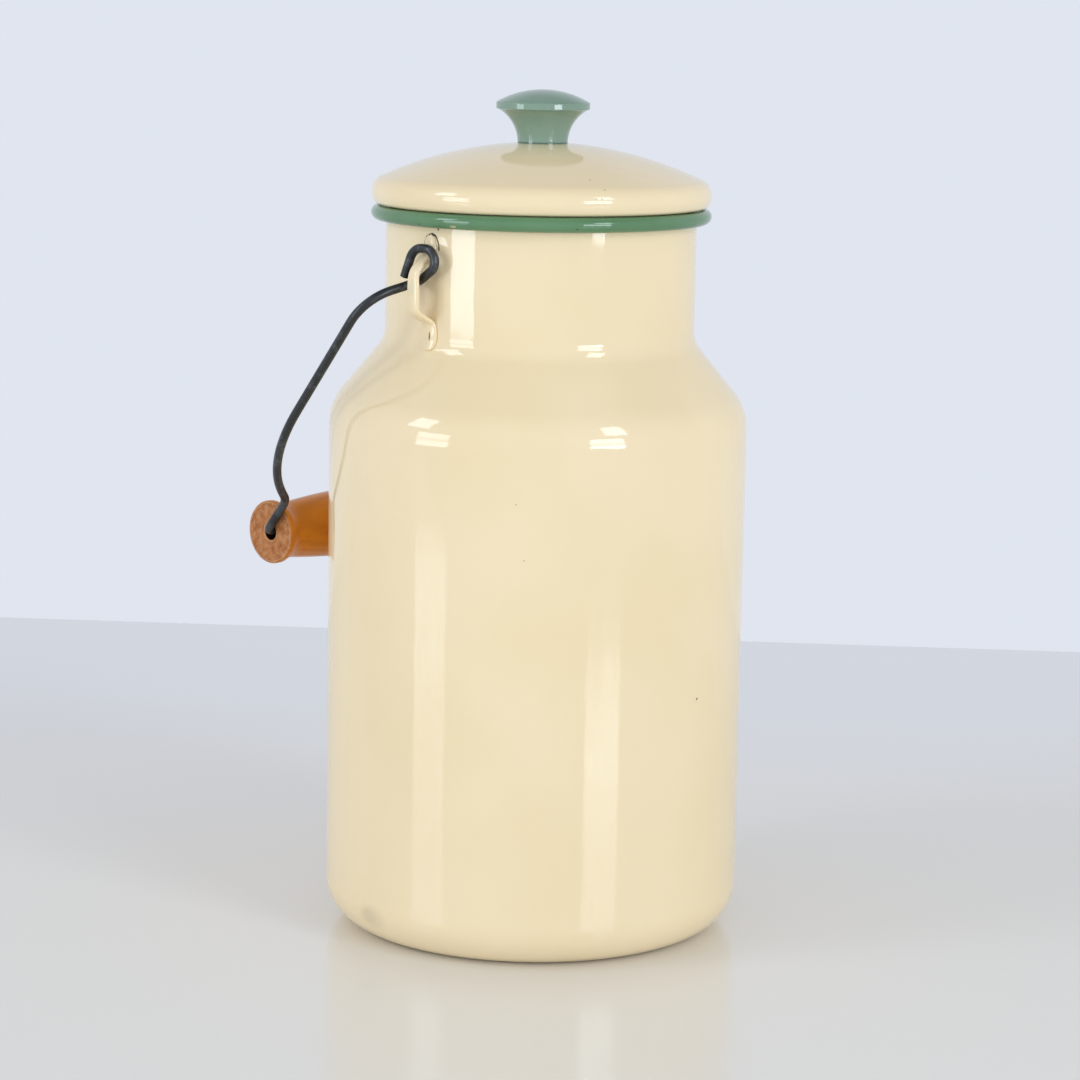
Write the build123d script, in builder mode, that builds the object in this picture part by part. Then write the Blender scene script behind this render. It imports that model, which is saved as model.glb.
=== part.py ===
from build123d import *
import os
from math import asin, cos, degrees, radians, sin, tan

# An enamelled steel can with a loose domed lid and a wire bail with a wooden grip.
# Millimetres. The origin is on the can's axis, on the surface it stands on, and +Z is up.
# The bail's pivots lie on a line along X, and at rest the bail leans on the can's +Y side.

os.makedirs("parts", exist_ok=True)

# can: side and shoulder from one sheet and the neck welded on above it, enamel included
body_radius = 82.5
neck_radius = 60.9
wall = 1.1
side_height = 208.0
cone_lean = 39.7
shoulder_round = 22.0
neck_round = 12.0
neck_weld_rise = 1.0
neck_height = 49.2

# pressed base, welded to the side above its corner
weld_above_corner = 9.0
base_corner = 17.0
standing_ring_width = 23.0
recess_slope_width = 3.0
recess_depth = 2.5
recess_round = 1.8

# rolled rim and the wire inside it
roll_radius = 2.9
lip_round = 3.5
rim_wire_clearance = 0.1

# lid
lid_seat_gap = 0.3
lid_overhang = 2.75
lid_widest_height = 5.0
lid_edge_round = 6.4
lid_edge_curl = 8.0
lid_foot_round = 2.5
lid_dome_radius = 150.0
collar_clearance = 0.7
collar_wall = 1.1
collar_depth = 18.0
collar_lip = 0.5
collar_lip_height = 2.0
collar_round = 1.5
flange_hole_clearance = 0.2
flange_overlap = 2.3

# knob and what holds it
knob_base_radius = 9.8
knob_flare_radius = 14.8
knob_flare_turn = 63.0
knob_band = 2.6
knob_band_overhang = 0.42
knob_crown = 5.0
knob_edge_round = 0.35
knob_seat_margin = 0.8
seat_round = 10.0
insert_radius = 3.8
insert_length = 10.5
insert_closed_end = 1.2
insert_flange_width = 1.4
insert_flange = 1.2
screw_radius = 2.0
screw_head_radius = 4.2
screw_head_height = 2.6
screw_slot_width = 1.1
screw_slot_depth = 1.2
screw_hole_clearance = 0.3
screw_tip_clearance = 1.5
thread_clearance = 0.05
washer_radius = 6.5
washer_thickness = 1.0
seal_radius = 7.5
seal_thickness = 1.2

# strap ears, placed by how far their roots are below the roll's centre
strap_width = 5.0
strap_thickness = 2.2
strap_edge_round = 0.8
strap_standoff = 7.8
strap_upper_root_drop = 13.2
strap_upper_rise = 6.0
strap_loop_height = 14.1
strap_lower_rise = 5.1
strap_upper_tail = 1.8
strap_lower_tail = 2.9
strap_root_round = 2.4
strap_upper_bend_round = 7.0
strap_lower_bend_round = 4.0

# the flattened feet at the strap's ends
foot_thickness = 1.3
foot_clearance = 0.04
upper_foot_height = 7.5
upper_foot_widening = 0.9
upper_foot_tip_width = 4.4
lower_foot_height = 11.1
lower_foot_widening = 1.8
foot_round = 1.2

# wooden grip, bored through along X
grip_length = 109.6
grip_middle_radius = 13.95
grip_waist_radius = 11.4
grip_waist_from_end = 10.6
grip_end_radius = 12.85
grip_lip_width = 2.2
grip_end_round = 0.7
grip_bore_clearance = 1.45
grip_mouth_chamfer = 0.5
grip_rest_gap = 0.3

# bail: one round wire, drawn hanging straight down from its pivots and then swung out to rest
wire_radius = 1.75
hook_from_neck = 4.4
bail_reach = 151.8
grip_wire_gap = 0.45
grip_face_clearance = 0.45
bail_widening = 19.0
bail_toe_in = 1.9
bail_shoulder_drop = 18.2
bail_shoulder_round = 16.5
bail_elbow_rise = 44.8
bail_elbow_round = 70.0
bail_knee_rise = 19.0
bail_knee_round = 9.0
bore_bend_round = 2.8

# hook outline as (drop below the pivot, distance out from the bail's plane) and corner rounds,
# in multiples of the least distance from the pivot to the wire's centre
hook_play = 0.5
hook_tip = (2.18, 0.65)
hook_corners = [(-0.18, 1.36), (-1.62, -0.4), (-0.56, -1.28), (1.2, -0.81), (2.26, -0.16)]
hook_rounds = [1.3, 0.96, 0.7, 2.4, 0.7]

# heights of the can's outline
weld_z = base_corner + weld_above_corner
cone_top_z = side_height + (body_radius - neck_radius) / tan(radians(cone_lean))
neck_weld_z = cone_top_z + neck_round * tan(radians(cone_lean / 2)) + neck_weld_rise
neck_bore_radius = neck_radius - wall
roll_z = cone_top_z + neck_height
roll_top_z = roll_z + roll_radius
lip_start_z = roll_top_z - lip_round
roll_centre_radius = neck_radius + roll_radius - 0.05 * wall


def sheet_section(points, rounds, thickness, side):
    """Section of a bent sheet, with one face on the rounded line through the points."""
    with BuildSketch(Plane.XZ) as section:
        with BuildLine():
            face_line = FilletPolyline(*points, radius=rounds)
            offset(face_line, amount=thickness, side=side)
        make_face()
    return section.sketch


# can body: the outer line runs up the side, over the shoulder and into the foot of the neck
side_line = [
    (body_radius, weld_z),
    (body_radius, side_height),
    (neck_radius, cone_top_z),
    (neck_radius, neck_weld_z),
]
with BuildPart() as can_body:
    add(sheet_section(side_line, [shoulder_round, neck_round], wall, Side.LEFT))
    revolve(axis=Axis.Z)
can_body.part.label = "can_body"
export_step(can_body.part, "parts/can_body.step")

# neck: a short tube from the weld to the rolled rim
with BuildPart() as can_neck:
    with BuildSketch(Plane.XY.offset(neck_weld_z)):
        Circle(neck_radius)
        Circle(neck_bore_radius, mode=Mode.SUBTRACT)
    extrude(amount=lip_start_z - neck_weld_z)
can_neck.part.label = "can_neck"
export_step(can_neck.part, "parts/can_neck.step")

# pressed base: a raised middle, the standing ring, and up the corner to the weld
recess_radius = body_radius - standing_ring_width
base_line = [
    (0, recess_depth),
    (recess_radius - recess_slope_width, recess_depth),
    (recess_radius, 0),
    (body_radius, 0),
    (body_radius, weld_z),
]
with BuildPart() as can_bottom:
    add(sheet_section(base_line, [recess_round, recess_round, base_corner], wall, Side.LEFT))
    revolve(axis=Axis.Z)
can_bottom.part.label = "can_bottom"
export_step(can_bottom.part, "parts/can_bottom.step")

# rolled rim: the neck's edge turned outwards and down round the rim wire
with BuildPart() as rim_roll:
    with BuildSketch(Plane.XZ):
        with BuildLine():
            neck_end = Line((neck_radius, lip_start_z), (neck_bore_radius, lip_start_z))
            lip = JernArc(neck_end @ 1, (0, 1), lip_round, -90)
            crest = Line(lip @ 1, (roll_centre_radius, roll_top_z))
            outside = JernArc(crest @ 1, (1, 0), roll_radius, -270)
            Line(outside @ 1, neck_end @ 0)
        make_face()
        with Locations((roll_centre_radius, roll_z)):
            Circle(roll_radius - wall, mode=Mode.SUBTRACT)
    revolve(axis=Axis.Z)
rim_roll.part.label = "rim_roll"
export_step(rim_roll.part, "parts/rim_roll.step")

with BuildPart() as rim_wire:
    with BuildSketch(Plane.XZ):
        with Locations((roll_centre_radius, roll_z)):
            Circle(roll_radius - wall - rim_wire_clearance)
    revolve(axis=Axis.Z)
rim_wire.part.label = "rim_wire"
export_step(rim_wire.part, "parts/rim_wire.step")

# strap ears: a bent strap standing off the neck, with a flattened foot at each end
strap_x = neck_radius + foot_clearance + strap_thickness / 2
standoff_x = strap_x + strap_standoff
upper_root_z = roll_z - strap_upper_root_drop
upper_bend_z = upper_root_z - strap_upper_rise
lower_bend_z = upper_bend_z - strap_loop_height
lower_root_z = lower_bend_z - strap_lower_rise
upper_shoulder_z = upper_root_z + strap_root_round
lower_shoulder_z = lower_root_z - strap_root_round - strap_lower_tail / 2
upper_half_foot = strap_width / 2 + upper_foot_widening
lower_half_foot = strap_width / 2 + lower_foot_widening

# the feet follow the outline of the neck and the top of the shoulder, a hair off the sheet
foot_radius = neck_radius + foot_clearance
foot_line = [
    (body_radius + foot_clearance, side_height),
    (foot_radius, cone_top_z),
    (foot_radius, lip_start_z),
]
with BuildPart() as ear_feet:
    add(sheet_section(foot_line, [neck_round - foot_clearance], foot_thickness, Side.RIGHT))
    revolve(axis=Axis.Z)
    with BuildSketch(Plane.YZ) as upper_outline:
        with BuildLine():
            Polyline(
                (-strap_width / 2, upper_root_z),
                (-upper_half_foot, upper_shoulder_z),
                (-upper_foot_tip_width / 2, upper_root_z + upper_foot_height),
                (upper_foot_tip_width / 2, upper_root_z + upper_foot_height),
                (upper_half_foot, upper_shoulder_z),
                (strap_width / 2, upper_root_z),
                close=True,
            )
        make_face()
        fillet(upper_outline.vertices().group_by(Axis.Y)[-1], foot_round)
    with BuildSketch(Plane.YZ) as lower_outline:
        with BuildLine():
            Polyline(
                (-strap_width / 2, lower_root_z),
                (-lower_half_foot, lower_shoulder_z),
                (-lower_half_foot, lower_root_z - lower_foot_height),
                (lower_half_foot, lower_root_z - lower_foot_height),
                (lower_half_foot, lower_shoulder_z),
                (strap_width / 2, lower_root_z),
                close=True,
            )
        make_face()
        fillet(lower_outline.vertices().group_by(Axis.Y)[0], lower_half_foot - foot_round)
    extrude(amount=2 * body_radius, mode=Mode.INTERSECT)

with BuildPart() as ear_right:
    with BuildLine(Plane.XZ) as strap_run:
        FilletPolyline(
            (strap_x, upper_root_z + strap_upper_tail),
            (strap_x, upper_root_z),
            (standoff_x, upper_bend_z),
            (standoff_x, lower_bend_z),
            (strap_x, lower_root_z),
            (strap_x, lower_root_z - strap_lower_tail),
            radius=[
                strap_root_round,
                strap_upper_bend_round,
                strap_lower_bend_round,
                strap_root_round,
            ],
        )
    strap_end = Plane(origin=strap_run.line @ 0, x_dir=(0, 1, 0), z_dir=strap_run.line % 0)
    with BuildSketch(strap_end):
        RectangleRounded(strap_width, strap_thickness, strap_edge_round)
    sweep(path=strap_run.line)
    add(ear_feet.part)
ear_right.part.label = "ear_right"
export_step(ear_right.part, "parts/ear_right.step")

with BuildPart() as ear_left:
    mirror(ear_right.part, about=Plane.YZ)
ear_left.part.label = "ear_left"
export_step(ear_left.part, "parts/ear_left.step")

# the hooks hang under the ears' upper arms, so the pivots are at those arms' centres
hook_x = neck_radius + hook_from_neck
arm_slope = strap_upper_rise / strap_standoff
pivot_z = upper_root_z - (hook_x - strap_x) * arm_slope
pivot_axis = Axis((0, 0, pivot_z), (1, 0, 0))
grip_rest_y = body_radius + grip_middle_radius + grip_rest_gap
rest_angle = degrees(asin(grip_rest_y / bail_reach))
print("bail leans", round(rest_angle, 2), "degrees; it swings", round(360 - 2 * rest_angle, 1))
print("pivot height", round(pivot_z, 3))


# bail: one wire from hook to hook through the grip
def hanging(x, point):
    drop, out = point
    return Vector(x, out, pivot_z - drop)


hook_bow = (strap_width**2 + strap_thickness**2) ** 0.5 / 2 + wire_radius + hook_play
bail_half_width = hook_x + bail_widening
grip_face_x = grip_length / 2 + grip_face_clearance + wire_radius
grip_bore_radius = wire_radius + grip_bore_clearance
bore_run_drop = bail_reach - (grip_bore_radius - wire_radius - grip_wire_gap)
left_half = [
    hanging(-hook_x, (hook_bow * drop, hook_bow * out)) for drop, out in [hook_tip] + hook_corners
]
left_half += [
    hanging(-bail_half_width, (bail_shoulder_drop, 0)),
    hanging(-bail_half_width + bail_toe_in, (bail_reach - bail_elbow_rise, 0)),
    hanging(-grip_face_x, (bail_reach - bail_knee_rise, 0)),
    hanging(-grip_face_x, (bore_run_drop, 0)),
]
left_rounds = [hook_bow * size for size in hook_rounds] + [
    bail_shoulder_round,
    bail_elbow_round,
    bail_knee_round,
    bore_bend_round,
]
bail_points = left_half + [Vector(-p.X, p.Y, p.Z) for p in reversed(left_half)]
bail_rounds = left_rounds + left_rounds[::-1]

with BuildPart() as hanging_bail:
    with BuildLine() as bail_run:
        FilletPolyline(*bail_points, radius=bail_rounds)
    with BuildSketch(Plane(origin=bail_run.line @ 0, z_dir=bail_run.line % 0)):
        Circle(wire_radius)
    sweep(path=bail_run.line)
wire_length = sum(edge.length for edge in bail_run.edges())
print("bail wire is", round(wire_length, 1), "long; its volume over section times length is",
      round(hanging_bail.part.volume / (wire_length * 3.14159265 * wire_radius**2), 4))

with BuildPart() as bail_wire:
    add(hanging_bail.part.rotate(pivot_axis, rest_angle))
bail_wire.part.label = "bail_wire"
export_step(bail_wire.part, "parts/bail_wire.step")

# grip: turned barrel with a lip at each end and a through bore, drawn along X and then hung
half_grip = grip_length / 2
waist_x = half_grip - grip_waist_from_end
lip_x = half_grip - grip_lip_width
mouth_radius = grip_bore_radius + grip_mouth_chamfer
with BuildPart() as turned_grip:
    with BuildSketch(Plane.XZ) as grip_section:
        with BuildLine():
            barrel = ThreePointArc(
                (-waist_x, grip_waist_radius), (0, grip_middle_radius), (waist_x, grip_waist_radius)
            )
            right_flare = TangentArc(barrel @ 1, (lip_x, grip_end_radius), tangent=barrel % 1)
            left_flare = TangentArc(
                barrel @ 0, (-lip_x, grip_end_radius), tangent=(barrel % 0) * -1
            )
            Polyline(
                right_flare @ 1,
                (half_grip, grip_end_radius),
                (half_grip, mouth_radius),
                (half_grip - grip_mouth_chamfer, grip_bore_radius),
                (-half_grip + grip_mouth_chamfer, grip_bore_radius),
                (-half_grip, mouth_radius),
                (-half_grip, grip_end_radius),
                left_flare @ 1,
            )
        make_face()
        end_corners = grip_section.vertices().filter_by(lambda v: abs(v.X) > half_grip - 0.001)
        fillet(end_corners.group_by(Axis.Y)[-1], grip_end_round)
    revolve(axis=Axis.X)

hanging_place = Location((0, 0, pivot_z - bail_reach))
with BuildPart() as grip:
    add(turned_grip.part.moved(hanging_place).rotate(pivot_axis, rest_angle))
grip.part.label = "grip"
export_step(grip.part, "parts/grip.step")

# heights of the lid's outline
lid_base_z = roll_top_z + lid_seat_gap
lid_widest_z = lid_base_z + lid_widest_height
lid_radius = roll_centre_radius + lid_overhang
crown_radius = lid_dome_radius - lid_edge_round
dome_centre_z = lid_widest_z - (crown_radius**2 - (lid_radius - lid_edge_round) ** 2) ** 0.5
seat_radius = knob_base_radius + knob_seat_margin
seat_rim_radius = lid_dome_radius - seat_round
seat_turn = degrees(asin(seat_radius / seat_rim_radius))
seat_z = dome_centre_z + seat_round + (seat_rim_radius**2 - seat_radius**2) ** 0.5
dome_end = degrees(asin((lid_widest_z - dome_centre_z) / crown_radius))
curl_turn = degrees(asin((lid_widest_height - lid_foot_round) / (lid_edge_curl - lid_foot_round)))

# the collar hangs in the neck, and its own edge lies on the lid's flange
collar_radius = neck_bore_radius - collar_clearance
cover_hole_radius = collar_radius + collar_round + flange_hole_clearance
collar_flange_radius = cover_hole_radius + flange_overlap
screw_hole_radius = screw_radius + screw_hole_clearance


# lid cover: domed sheet with a flat seat for the knob, turned down to its widest line
def cover_line(inset):
    """Draws the line at this depth in the cover's sheet and returns its two ends."""
    seat = Line((screw_hole_radius, seat_z - inset), (seat_radius, seat_z - inset))
    seat_rim = JernArc(seat @ 1, (1, 0), seat_round - inset, -seat_turn)
    dome = JernArc(seat_rim @ 1, seat_rim % 1, lid_dome_radius - inset, dome_end + seat_turn - 90)
    edge = JernArc(dome @ 1, dome % 1, lid_edge_round - inset, -dome_end)
    return seat @ 0, edge @ 1


with BuildPart() as lid_cover:
    with BuildSketch(Plane.XZ):
        with BuildLine():
            outer_ends = cover_line(0)
            inner_ends = cover_line(wall)
            Line(outer_ends[0], inner_ends[0])
            Line(outer_ends[1], inner_ends[1])
        make_face()
    revolve(axis=Axis.Z)
lid_cover.part.label = "lid_cover"
export_step(lid_cover.part, "parts/lid_cover.step")


# lid flange: a ring welded under the cover's edge, curled in to the flange that holds the collar
def flange_line(inset):
    """Draws the line at this depth in the flange's sheet and returns its two ends."""
    curl = JernArc((lid_radius - inset, lid_widest_z), (0, -1), lid_edge_curl - inset, -curl_turn)
    foot = JernArc(curl @ 1, curl % 1, lid_foot_round - inset, curl_turn - 90)
    flange = Line(foot @ 1, (cover_hole_radius, lid_base_z + inset))
    return curl @ 0, flange @ 1


with BuildPart() as lid_flange:
    with BuildSketch(Plane.XZ):
        with BuildLine():
            under_ends = flange_line(0)
            upper_ends = flange_line(wall)
            Line(under_ends[0], upper_ends[0])
            Line(under_ends[1], upper_ends[1])
        make_face()
    revolve(axis=Axis.Z)
lid_flange.part.label = "lid_flange"
export_step(lid_flange.part, "parts/lid_flange.step")

# lid collar: a ring that drops into the neck, drawn in a little at its foot
flange_z = lid_base_z + wall
collar_foot_z = flange_z - collar_depth
collar_line = [
    (collar_radius - collar_lip, collar_foot_z),
    (collar_radius, collar_foot_z + collar_lip_height),
    (collar_radius, flange_z),
    (collar_flange_radius, flange_z),
]
with BuildPart() as lid_collar:
    add(sheet_section(collar_line, [collar_round, collar_round], collar_wall, Side.LEFT))
    revolve(axis=Axis.Z)
lid_collar.part.label = "lid_collar"
export_step(lid_collar.part, "parts/lid_collar.step")

# knob: moulded, with a flared stem, an upright band and a low crown
insert_flange_radius = insert_radius + insert_flange_width
with BuildPart() as lid_knob:
    with BuildSketch(Plane.XZ) as knob_section:
        with BuildLine():
            stem = JernArc((knob_base_radius, seat_z), (0, 1), knob_flare_radius, -knob_flare_turn)
            band_radius = (stem @ 1).X + knob_band_overhang
            band_foot_z = (stem @ 1).Y
            band_top_z = band_foot_z + knob_band
            band = Polyline(stem @ 1, (band_radius, band_foot_z), (band_radius, band_top_z))
            crown = TangentArc((0, band_top_z + knob_crown), band @ 1, tangent=(1, 0))
            Polyline(crown @ 0, (0, seat_z), stem @ 0)
        make_face()
        band_corners = knob_section.vertices().filter_by(lambda v: v.X > band_radius - 0.001)
        fillet(band_corners, knob_edge_round)
    revolve(axis=Axis.Z)
    with BuildSketch(Plane.XY.offset(seat_z)):
        Circle(insert_radius)
    extrude(amount=insert_length, mode=Mode.SUBTRACT)
    with BuildSketch(Plane.XY.offset(seat_z)):
        Circle(insert_flange_radius)
    extrude(amount=insert_flange, mode=Mode.SUBTRACT)
lid_knob.part.label = "lid_knob"
export_step(lid_knob.part, "parts/lid_knob.step")

# threaded insert moulded into the knob's foot, its bore drawn at the thread's outer size
thread_depth = insert_length - insert_closed_end
with BuildPart() as knob_insert:
    with BuildSketch(Plane.XY.offset(seat_z)):
        Circle(insert_radius)
    extrude(amount=insert_length)
    with BuildSketch(Plane.XY.offset(seat_z)):
        Circle(insert_flange_radius)
    extrude(amount=insert_flange)
    with BuildSketch(Plane.XY.offset(seat_z)):
        Circle(screw_radius + thread_clearance)
    extrude(amount=thread_depth, mode=Mode.SUBTRACT)
knob_insert.part.label = "knob_insert"
export_step(knob_insert.part, "parts/knob_insert.step")

# fibre seal and steel washer under the cover
seal_under_z = seat_z - wall - seal_thickness
with BuildPart() as knob_seal:
    with BuildSketch(Plane.XY.offset(seal_under_z)):
        Circle(seal_radius)
        Circle(screw_hole_radius, mode=Mode.SUBTRACT)
    extrude(amount=seal_thickness)
knob_seal.part.label = "knob_seal"
export_step(knob_seal.part, "parts/knob_seal.step")

washer_under_z = seal_under_z - washer_thickness
with BuildPart() as knob_washer:
    with BuildSketch(Plane.XY.offset(washer_under_z)):
        Circle(washer_radius)
        Circle(screw_hole_radius, mode=Mode.SUBTRACT)
    extrude(amount=washer_thickness)
knob_washer.part.label = "knob_washer"
export_step(knob_washer.part, "parts/knob_washer.step")

# slotted screw, from under the washer up into the insert
head_under_z = washer_under_z - screw_head_height
screw_tip_z = seat_z + thread_depth - screw_tip_clearance
with BuildPart() as knob_screw:
    with BuildSketch(Plane.XY.offset(head_under_z)):
        Circle(screw_head_radius)
    extrude(amount=screw_head_height)
    fillet(knob_screw.faces().sort_by(Axis.Z)[0].edges(), screw_head_height / 2)
    with BuildSketch(Plane.XY.offset(washer_under_z)):
        Circle(screw_radius)
    extrude(amount=screw_tip_z - washer_under_z)
    with BuildSketch(Plane.XY.offset(head_under_z)):
        Rectangle(2 * screw_head_radius, screw_slot_width)
    extrude(amount=screw_slot_depth, mode=Mode.SUBTRACT)
knob_screw.part.label = "knob_screw"
export_step(knob_screw.part, "parts/knob_screw.step")
print("lid radius", round(lid_radius, 2), "knob seat", round(seat_z, 2),
      "knob top", round(band_top_z + knob_crown, 2))
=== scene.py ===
import bpy
import bmesh
from math import asin, cos, degrees, pi, radians, sin, sqrt, tan
from mathutils import Matrix, Vector


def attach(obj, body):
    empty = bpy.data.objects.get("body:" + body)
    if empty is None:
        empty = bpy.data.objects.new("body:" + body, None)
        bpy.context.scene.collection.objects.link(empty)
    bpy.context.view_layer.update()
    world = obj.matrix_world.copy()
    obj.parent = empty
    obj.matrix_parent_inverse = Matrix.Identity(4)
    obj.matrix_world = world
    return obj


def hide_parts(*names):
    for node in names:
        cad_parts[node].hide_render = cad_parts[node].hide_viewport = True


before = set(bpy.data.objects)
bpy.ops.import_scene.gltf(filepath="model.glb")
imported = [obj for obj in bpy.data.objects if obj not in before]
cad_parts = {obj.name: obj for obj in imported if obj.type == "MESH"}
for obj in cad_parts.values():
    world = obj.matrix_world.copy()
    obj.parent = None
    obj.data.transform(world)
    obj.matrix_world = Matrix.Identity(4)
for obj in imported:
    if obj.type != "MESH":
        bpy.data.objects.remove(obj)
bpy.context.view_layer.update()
mm = 0.001
print("frame loaded:", len(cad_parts), "nodes")

# camera of the photograph; places in metres, roll in degrees, lens and sensor in millimetres
camera = {
    "place": (-0.93877, -0.88466, 0.37142),
    "aim": (-0.00480, -0.00669, 0.15494),
    "roll": 0.965,
    "lens": 109.587,
    "sensor": 36.0,
    "farthest": 50.0,
}
cameraData = bpy.data.cameras.new("camera")
cameraData.lens = camera["lens"]
cameraData.sensor_width = camera["sensor"]
cameraData.clip_end = camera["farthest"]
cameraObject = bpy.data.objects.new("camera", cameraData)
bpy.context.scene.collection.objects.link(cameraObject)
bpy.context.scene.camera = cameraObject
sight = Vector(camera["aim"]) - Vector(camera["place"])
turn = sight.to_track_quat("-Z", "Y").to_matrix() @ Matrix.Rotation(radians(camera["roll"]), 3, "Z")
cameraObject.matrix_world = Matrix.Translation(camera["place"]) @ turn.to_4x4()
bpy.context.scene.view_settings.view_transform = "Standard"
print("camera ready")


# materials
def colour(text, alpha=1.0):
    # sRGB hex to the linear values that Blender takes
    parts = [int(text[i:i + 2], 16) / 255 for i in (1, 3, 5)]
    return [c / 12.92 if c <= 0.04045 else ((c + 0.055) / 1.055) ** 2.4 for c in parts] + [alpha]


def setInputs(tree, node, inputs):
    # a value, a socket, or a node that gives its first live output
    for name, value in inputs.items():
        if isinstance(value, bpy.types.Node):
            value = next(output for output in value.outputs if output.enabled)
        if isinstance(value, bpy.types.NodeSocket):
            tree.links.new(value, node.inputs[name])
        else:
            node.inputs[name].default_value = value


def addNode(tree, kind, inputs=None, **settings):
    # sockets go by name, or by number where names repeat: a Mix has its factor at 0, its floats at 2 and 3
    # and its colours at 6 and 7
    node = tree.nodes.new("ShaderNode" + kind)
    for name, value in settings.items():
        setattr(node, name, value)
    setInputs(tree, node, inputs or {})
    return node


def newMaterial(name):
    material = bpy.data.materials.new(name)
    material.use_nodes = True
    tree = material.node_tree
    return material, tree, tree.nodes["Principled BSDF"], addNode(tree, "TexCoord").outputs["Object"]


spotEdge = {"full": 0.7, "gone": 1.15}  # where a spot begins to fade and where it ends, in parts of its size


def spots(tree, place, marks):
    # soft-edged ovals at (x, y, z, across, tall) in millimetres
    total = 0.0
    for x, y, z, across, tall in marks:
        gap = addNode(tree, "VectorMath", {0: place, 1: (x * mm, y * mm, z * mm)}, operation="SUBTRACT")
        size = (1 / (across * mm), 1 / (across * mm), 1 / (tall * mm))
        scaled = addNode(tree, "VectorMath", {0: gap, 1: size}, operation="MULTIPLY")
        reach = addNode(tree, "VectorMath", {0: scaled}, operation="LENGTH")
        spot = addNode(tree, "MapRange", {"Value": reach, "From Min": spotEdge["gone"],
                                          "From Max": spotEdge["full"]}, interpolation_type="SMOOTHSTEP")
        total = addNode(tree, "Math", {0: total, 1: spot}, operation="MAXIMUM")
    return total


def brokenLine(tree, place, moved, arch):
    # the enamel has cracked off along an oval line and left it in pieces; only its part above the foot and
    # outside the neck's face is drawn
    gap = addNode(tree, "VectorMath", {0: moved, 1: [v * mm for v in arch["centre"]]}, operation="SUBTRACT")
    size = [1 / (v * mm) for v in arch["size"]]
    scaled = addNode(tree, "VectorMath", {0: gap, 1: size}, operation="MULTIPLY")
    reach = addNode(tree, "VectorMath", {0: scaled}, operation="LENGTH")
    line = addNode(tree, "Math", {0: reach, 1: 1.0, 2: arch["line"]}, operation="COMPARE")
    gaps = addNode(tree, "TexNoise", {"Vector": place, "Scale": 1 / (arch["breaks"] * mm), "Detail": 2.0})
    whole = addNode(tree, "Math", {0: gaps, 1: arch["broken"]}, operation="GREATER_THAN")
    at = addNode(tree, "SeparateXYZ", {0: place})
    above = addNode(tree, "Math", {0: at.outputs["Z"], 1: arch["foot"] * mm}, operation="GREATER_THAN")
    outside = addNode(tree, "Math", {0: at.outputs["X"], 1: arch["face"] * mm}, operation="LESS_THAN")
    for part in (whole, above, outside):
        line = addNode(tree, "Math", {0: line, 1: part}, operation="MULTIPLY")
    return line


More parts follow.
